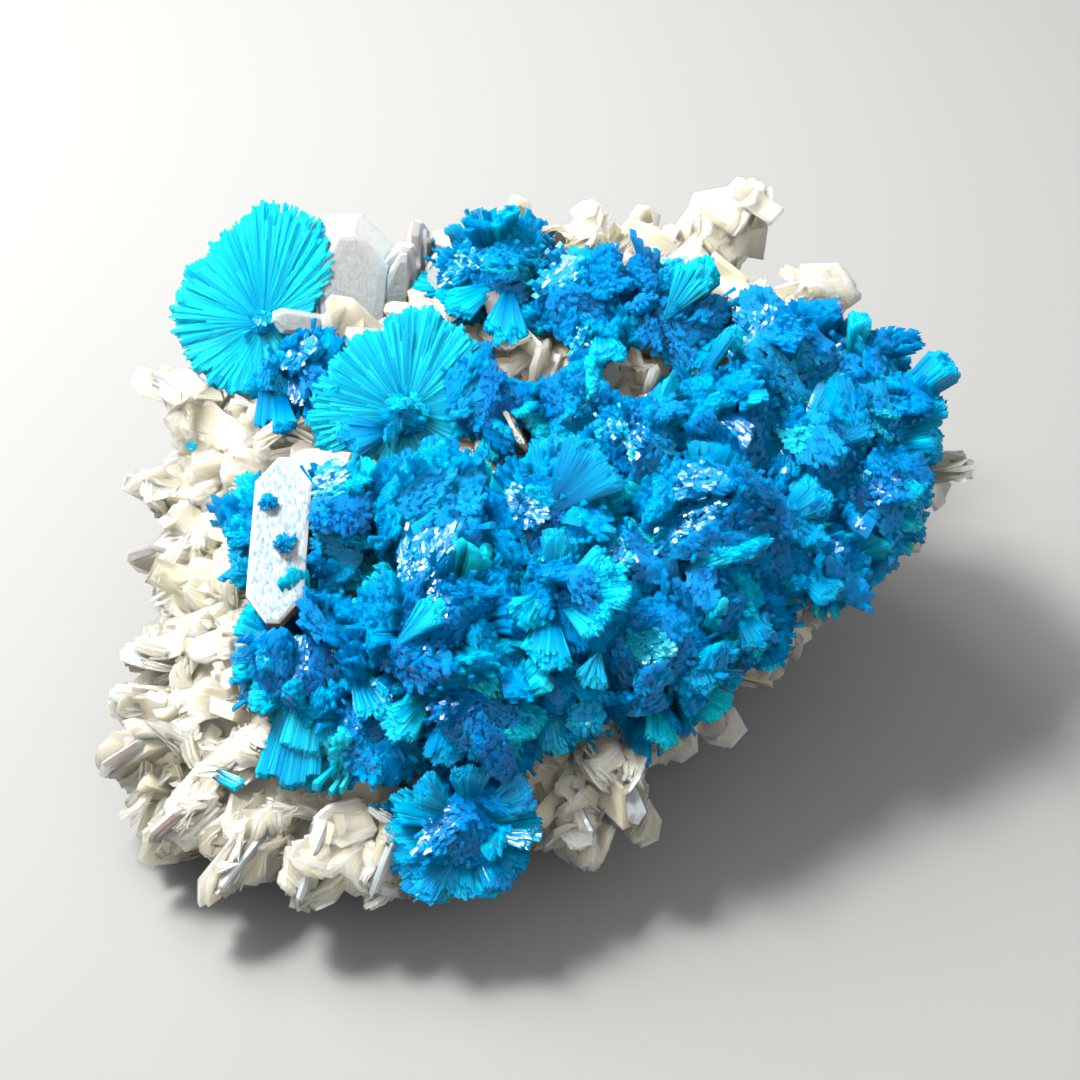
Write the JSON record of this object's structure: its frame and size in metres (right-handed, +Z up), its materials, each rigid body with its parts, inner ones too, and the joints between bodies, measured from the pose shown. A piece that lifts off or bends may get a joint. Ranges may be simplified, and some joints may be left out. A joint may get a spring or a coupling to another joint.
{
  "type": "cavansite on stilbite mineral specimen",
  "caption": "Domed and fan-shaped rosettes of blue cavansite laths grown over a block of cream stilbite blades with a few clear crystals, flat broken foot to stand on.",
  "frame": {"origin": "point near the middle of the flat broken foot that the specimen rests on", "axes": "+X to the right along the longest extent, -Y to the front where the blue crust slopes down, +Z up out of the foot"},
  "size_m": [0.0845, 0.0736, 0.0394],
  "materials": {
    "stilbite": "satin",
    "stilbite_clear": "gloss",
    "cavansite": "gloss"
  },
  "bodies": {
    "root": {"stilbite_matrix": "stilbite", "stilbite_clear_cluster": "stilbite_clear", "stilbite_tablet": "stilbite_clear", "cavansite_crust": "cavansite", "cavansite_front_rosette": "cavansite", "cavansite_needle_front": "cavansite", "cavansite_needle_left": "cavansite"}
  },
  "joints": []
}
